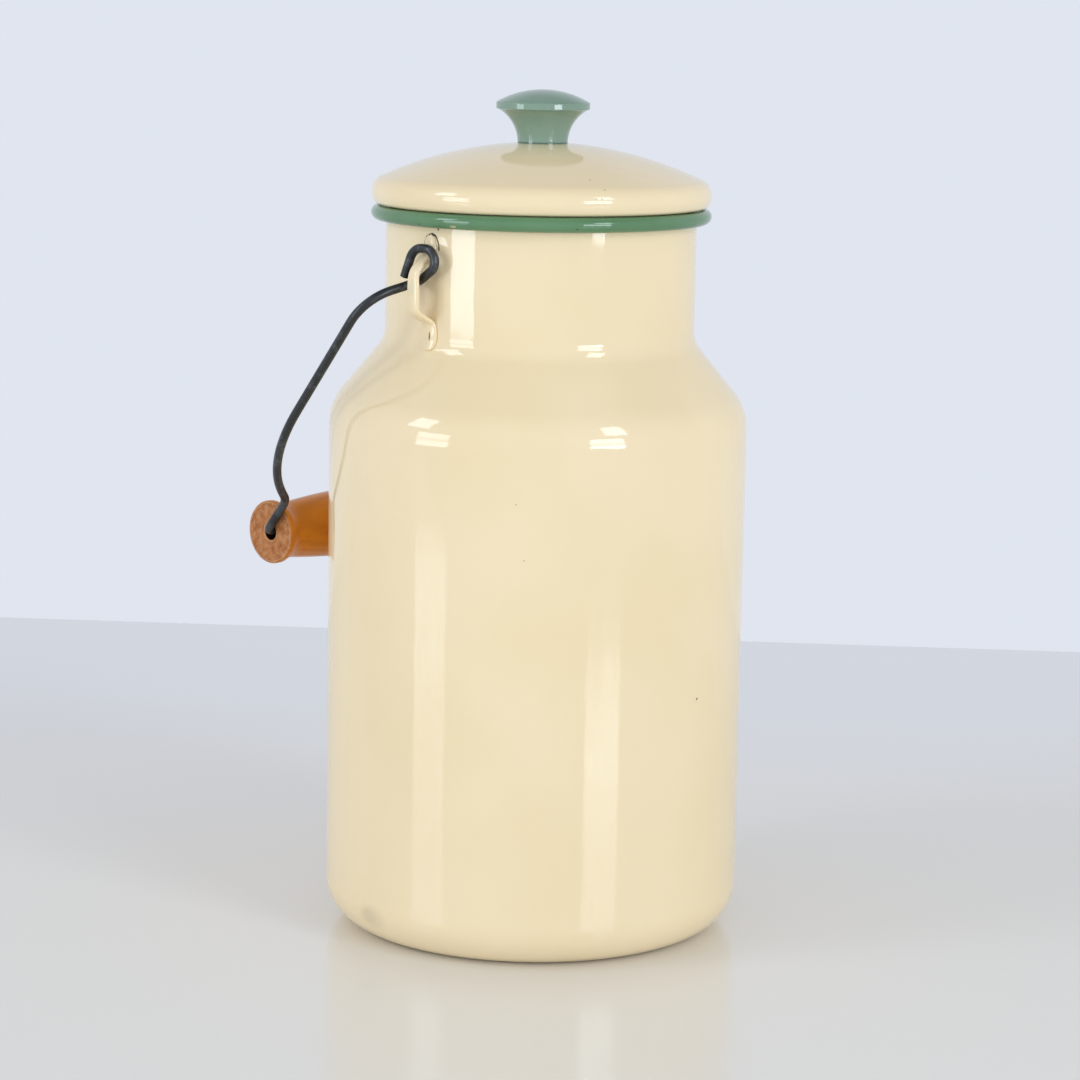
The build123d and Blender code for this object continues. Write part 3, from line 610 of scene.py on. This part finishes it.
dishVert, curlVert = drawArcs(mesh, (lid["seatRadius"], seatZ), 0.0, [
    (lid["seatRound"], seatTurn),
    (lid["domeRadius"], pi / 2 - domeEnd - seatTurn),
    (lid["edgeRound"], domeEnd),
    (lid["edgeCurl"], curlTurn),
    (lid["footRound"], pi / 2 - curlTurn),
])
dishZ, curlZ = dishVert.co.z, curlVert.co.z
joinOn(mesh, dishVert, [(lid["seatRadius"] - lid["seatSpare"], dishZ), (lid["screwHole"], dishZ)])
joinOn(mesh, curlVert, [(lid["holeRadius"] + lid["holeSpare"], curlZ), (lid["holeRadius"], curlZ)])
spinRound(mesh, lid["around"])
lidCover = makePiece("lidCover", mesh, lidEnamel, "lid", ["lid_cover", "lid_flange"])
thicken(lidCover, can["wall"])

# the knob: a flared stem, a narrow band and a low crown, with the insert's pocket below as (x, rise)
knob = {
    "baseRadius": 9.8, "flareRadius": 14.8, "flareTurn": 63.0, "band": 2.6, "overhang": 0.42, "crown": 5.0,
    "edgeRound": 0.35, "edgeSteps": 3, "edgeTurn": 40.0, "edgeNear": 1.0, "spare": 0.5, "around": 128,
    "pocket": [(5.25, 0), (5.25, 1.2), (3.85, 1.2), (3.85, 10.55), (0, 10.55)],
    "finish": {
        "green": "#86A192", "dull": "#6F8E7A", "cloudSize": 12.0, "cloudTone": 0.35,
        # the darker green band at the knob's foot, set here, is painted shade where it meets the lid
        "footShade": "#4A6152", "footShadeTop": 0.9, "footShadeFull": 0.3, "footShadeTone": 0.8, "smooth": 0.05, "rough": 0.1,
        "scratchSize": 7.0, "scratchStretch": 4.0, "scratchDepth": 0.001,
    },
}
flareTurn = radians(knob["flareTurn"])
flareX = knob["baseRadius"] + knob["flareRadius"] * (1 - cos(flareTurn))
flareZ = seatZ + knob["flareRadius"] * sin(flareTurn)
bandX = flareX + knob["overhang"]
bandTop = flareZ + knob["band"]
crownArc = (bandX ** 2 + knob["crown"] ** 2) / (2 * knob["crown"])
mesh = bmesh.new()
crownEnd = drawArcs(mesh, (0, bandTop + knob["crown"]), 0.0, [(crownArc, asin(bandX / crownArc))])[1]
baseVert, flareEnd = drawArcs(mesh, (knob["baseRadius"], seatZ), pi / 2, [(knob["flareRadius"], flareTurn)])
# spare points keep the band's shading straight between its rounded edges
band = [(bandX, bandTop - knob["spare"]), (bandX, flareZ + knob["spare"]), (bandX, flareZ)]
mesh.edges.new((joinOn(mesh, crownEnd, band), flareEnd))
joinOn(mesh, baseVert, [(x, seatZ + rise) for x, rise in knob["pocket"]])
spinRound(mesh, knob["around"])
bandEdges = [edge for edge in mesh.edges
             if edge.is_manifold and edge.calc_face_angle() > radians(knob["edgeTurn"])
             and edge.verts[0].co.z > flareZ - knob["edgeNear"]
             and edge.verts[0].co.to_2d().length > bandX - knob["edgeNear"]]
bmesh.ops.bevel(mesh, geom=bandEdges, offset=knob["edgeRound"], segments=knob["edgeSteps"], profile=0.5,
                affect="EDGES", material=-1)
knobUrea = mouldedUrea(knob["finish"], seatZ)
makePiece("lidKnob", mesh, knobUrea, "lid", ["lid_knob"], sharp=50)
print("lid and knob ready")

# the grip: a barrel that narrows to a waist near each end and flares again to a short straight lip
grip = {
    "half": 54.8, "middle": 13.95, "waist": 11.4, "waistFromEnd": 10.6, "end": 12.85, "lip": 2.2,
    "endRound": 0.7, "bore": 3.2, "mouth": 0.5, "axisY": 96.75, "axisZ": 150.54, "around": 96,
    "finish": {
        "amber": "#D2801C", "dark": "#9A5006", "smooth": 0.28, "rough": 0.6,
        "heartY": 14.0, "heartZ": -9.0, "ring": 2.6, "ringTone": 0.18, "ringStretch": 0.03,
        "wobble": 3.0, "wobbleSize": 16.0,
        "raySize": 0.9, "rayStretch": 0.15, "rayTone": 0.22,
        "edgeSize": 2.5, "edgeWander": 0.4, "edgeFrom": -0.05, "edgeTo": 0.1,
        "bare": "#C68A5A", "bareDark": "#A05C2C", "mottleSize": 3.4, "mottleDepth": 0.12,
        "fleck": "#CFAE84", "fleckSize": 1.2, "fleckTone": 0.6,
        "fleckFrom": 6.0, "fleckTo": 12.0, "fleckMore": 0.12,
        "rub": "#E2BE98", "rubTone": 0.6, "rubOuter": 12.0, "rubOuterWidth": 0.1,
        "rubMouth": 3.5, "rubMouthWidth": 0.35,
        # the bore's dark colour is painted shade inside it
        "bore": "#2E1B0E", "boreShadeFrom": 3.4, "boreShadeTo": 3.25,
    },
}
waistX = grip["half"] - grip["waistFromEnd"]
swell = grip["middle"] - grip["waist"]
barrelArc = (waistX ** 2 + swell ** 2) / (2 * swell)
barrelTurn = asin(waistX / barrelArc)
lipX = grip["half"] - grip["lip"]
flare = Vector((lipX - waistX, grip["end"] - grip["waist"]))
flareBend = 2 * (Vector((1, 0)).angle(flare) + barrelTurn)
flareArc = flare.length / (2 * sin(flareBend / 2))
mesh = bmesh.new()
ends = drawArcs(mesh, (-lipX, grip["end"]), barrelTurn - flareBend, [
    (flareArc, -flareBend),
    (barrelArc, 2 * barrelTurn),
    (flareArc, -flareBend),
])
mouths = []
for end, side in zip(ends, (-1, 1)):
    corner, faceEdge = drawArcs(mesh, (side * (grip["half"] - grip["endRound"]), grip["end"]),
                                0 if side > 0 else pi, [(grip["endRound"], side * pi / 2)])
    mesh.edges.new((end, corner))
    mouths.append(joinOn(mesh, faceEdge, [(side * grip["half"], grip["bore"] + grip["mouth"]),
                                          (side * (grip["half"] - grip["mouth"]), grip["bore"])]))
mesh.edges.new(mouths)
spinRound(mesh, grip["around"], (1, 0, 0))
bmesh.ops.translate(mesh, vec=(0, grip["axisY"], grip["axisZ"]), verts=mesh.verts[:])
makePiece("turnedGrip", mesh, shellackedBeech(grip), "grip", ["grip"])
print("grip ready")

# CAD nodes that keep their own shape
wire = {
    "black": "#37393B", "smooth": 0.26, "rough": 0.38, "metallic": 0.55, "scaleSize": 0.8, "scaleDepth": 0.03,
    "rubbed": "#5C6066", "rubbedSize": 5.0, "rubbedTone": 0.7, "rubbedAtTone": 0.5,
    "rubbedAt": [(-57.0, 96.0, 152.0, 5.0, 5.0), (-58.0, 86.0, 162.0, 4.0, 6.0)],
}
for node, material in {
    "rim_wire": plainSteel, "bail_wire": blackenedWire(wire), "lid_collar": lidEnamel,
    "knob_insert": insertBrass, "knob_screw": plainSteel, "knob_washer": plainSteel, "knob_seal": sealRubber,
}.items():
    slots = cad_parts[node].data.materials
    slots.clear()
    slots.append(material)
print("wire and fittings ready")

# stage: a table, a pale room that is dimmer overhead, and two tall windows; each lower pane is bright at its
# sill and dimmer across its middle, and the right one reaches lower in one corner; places are in metres and
# bearings in degrees, and a pane is (bearing, width, lowest, highest, radiance)
stage = {
    # the top's far colour is a painted reflection of the room
    "top": "#EFEDEA", "topFarReflection": "#F2F6FF", "room": "#E0E5EF", "ceiling": "#8A8D92",
    "roomLight": 0.85, "ceilingLight": 0.42, "floorLight": 0.48, "backLight": 1.05, "backBearing": 43.3,
    "farEdge": 0.584, "nearEdge": 0.75, "halfWidth": 1.3, "thickness": 0.03, "edgeRound": 0.006, "angle": 38.7,
    "paneDistance": 1.5, "paneTint": (0.84, 0.92, 1.0),
    "panes": {
        "leftSill": (165.5, 0.50, 0.085, 0.30, 5.6),
        "leftMiddle": (165.5, 0.50, 0.30, 0.42, 3.1),
        "leftLower": (165.5, 0.50, 0.42, 0.64, 5.2),
        "leftUpper": (153.0, 0.39, 0.82, 1.37, 5.6),
        "rightCorner": (265.0, 0.26, 0.178, 0.20, 10.5),
        "rightSill": (260.5, 0.50, 0.20, 0.31, 10.5),
        "rightMiddle": (260.5, 0.50, 0.31, 0.45, 4.8),
        "rightLower": (260.5, 0.50, 0.45, 0.65, 7.6),
        "rightUpper": (267.5, 0.35, 0.82, 1.35, 7.0),
    },
}


def towards(bearing):
    return Vector((cos(radians(bearing)), sin(radians(bearing)), 0))


depth = stage["farEdge"] + stage["nearEdge"]
middle = (stage["farEdge"] - stage["nearEdge"]) / 2
mesh = bmesh.new()
bmesh.ops.create_cube(mesh, size=1.0)
bmesh.ops.scale(mesh, vec=(depth, 2 * stage["halfWidth"], stage["thickness"]), verts=mesh.verts[:])
bmesh.ops.translate(mesh, vec=(middle, 0, -stage["thickness"] / 2), verts=mesh.verts[:])
tableTurn = Matrix.Rotation(radians(stage["angle"]), 3, "Z")
bmesh.ops.rotate(mesh, cent=(0, 0, 0), matrix=tableTurn, verts=mesh.verts[:])
bmesh.ops.bevel(mesh, geom=mesh.edges[:], offset=stage["edgeRound"], segments=4, profile=0.5, affect="EDGES",
                material=-1)
tableData = bpy.data.meshes.new("table")
mesh.to_mesh(tableData)
mesh.free()
table = bpy.data.objects.new("table", tableData)
bpy.context.scene.collection.objects.link(table)

# satin laminate, pressed: flat and even with a soft sheen; paler and bluer towards its far edge, a painted
# reflection
tableMaterial, tree, shader, place = newMaterial("satinLaminate")
away = addNode(tree, "VectorMath", {0: place, 1: towards(stage["angle"])},
               operation="DOT_PRODUCT").outputs["Value"]
# painted reflection: the top grows paler and bluer towards its far edge
farReflection = addNode(tree, "MapRange", {"Value": away, "From Min": 0.0, "From Max": stage["farEdge"]},
              interpolation_type="SMOOTHSTEP")
laminateAndReflection = addNode(tree, "Mix", {0: farReflection, 6: colour(stage["top"]), 7: colour(stage["topFarReflection"])}, data_type="RGBA")
setInputs(tree, shader, {"Base Color": laminateAndReflection, "Roughness": 0.16, "IOR": 1.7})
tableData.materials.append(tableMaterial)

# the room lights the object less than it shows: brightest behind it, dimmer overhead and below
world = bpy.data.worlds.new("room")
bpy.context.scene.world = world
world.use_nodes = True
tree = world.node_tree
heading = addNode(tree, "TexCoord").outputs["Generated"]
backward = addNode(tree, "VectorMath", {0: heading, 1: towards(stage["backBearing"])},
                   operation="DOT_PRODUCT").outputs["Value"]
behind = addNode(tree, "MapRange", {"Value": backward, "From Min": 0.0, "From Max": 0.8,
                                    "To Min": stage["roomLight"], "To Max": stage["backLight"]},
                 interpolation_type="SMOOTHSTEP")
wallLight = addNode(tree, "CombineColor", {0: behind, 1: behind, 2: behind})
climb = addNode(tree, "SeparateXYZ", {0: heading}).outputs["Z"]
overhead = addNode(tree, "MapRange", {"Value": climb, "From Min": 0.1, "From Max": 0.9},
                   interpolation_type="SMOOTHSTEP")
below = addNode(tree, "MapRange", {"Value": climb, "From Min": 0.0, "From Max": -0.04})
floorTone = [stage["floorLight"]] * 3 + [1.0]
ceilingTone = [stage["ceilingLight"]] * 3 + [1.0]
around = addNode(tree, "Mix", {0: below, 6: wallLight, 7: floorTone}, data_type="RGBA")
lit = addNode(tree, "Mix", {0: overhead, 6: around, 7: ceilingTone}, data_type="RGBA")
high = addNode(tree, "MapRange", {"Value": climb, "From Min": 0.4, "From Max": 1.0},
               interpolation_type="SMOOTHSTEP")
shown = addNode(tree, "Mix", {0: high, 6: colour(stage["room"]), 7: colour(stage["ceiling"])}, data_type="RGBA")
path = addNode(tree, "LightPath").outputs
direct = addNode(tree, "Math", {0: path["Is Camera Ray"], 1: path["Is Glossy Ray"]}, operation="MAXIMUM")
seen = addNode(tree, "Math", {0: direct, 1: path["Is Transmission Ray"]}, operation="MAXIMUM")
sky = addNode(tree, "Mix", {0: seen, 6: lit, 7: shown}, data_type="RGBA")
setInputs(tree, tree.nodes["Background"], {"Color": sky})

for name, (bearing, width, lowest, highest, radiance) in stage["panes"].items():
    lamp = bpy.data.lights.new(name, "AREA")
    lamp.shape = "RECTANGLE"
    lamp.size = width
    lamp.size_y = highest - lowest
    lamp.energy = radiance * pi * width * (highest - lowest)
    lamp.color = stage["paneTint"]
    pane = bpy.data.objects.new(name, lamp)
    bpy.context.scene.collection.objects.link(pane)
    outward = towards(bearing)
    spot = outward * stage["paneDistance"] + Vector((0, 0, (lowest + highest) / 2))
    pane.matrix_world = Matrix.Translation(spot) @ (-outward).to_track_quat("-Z", "Y").to_matrix().to_4x4()
print("stage ready")
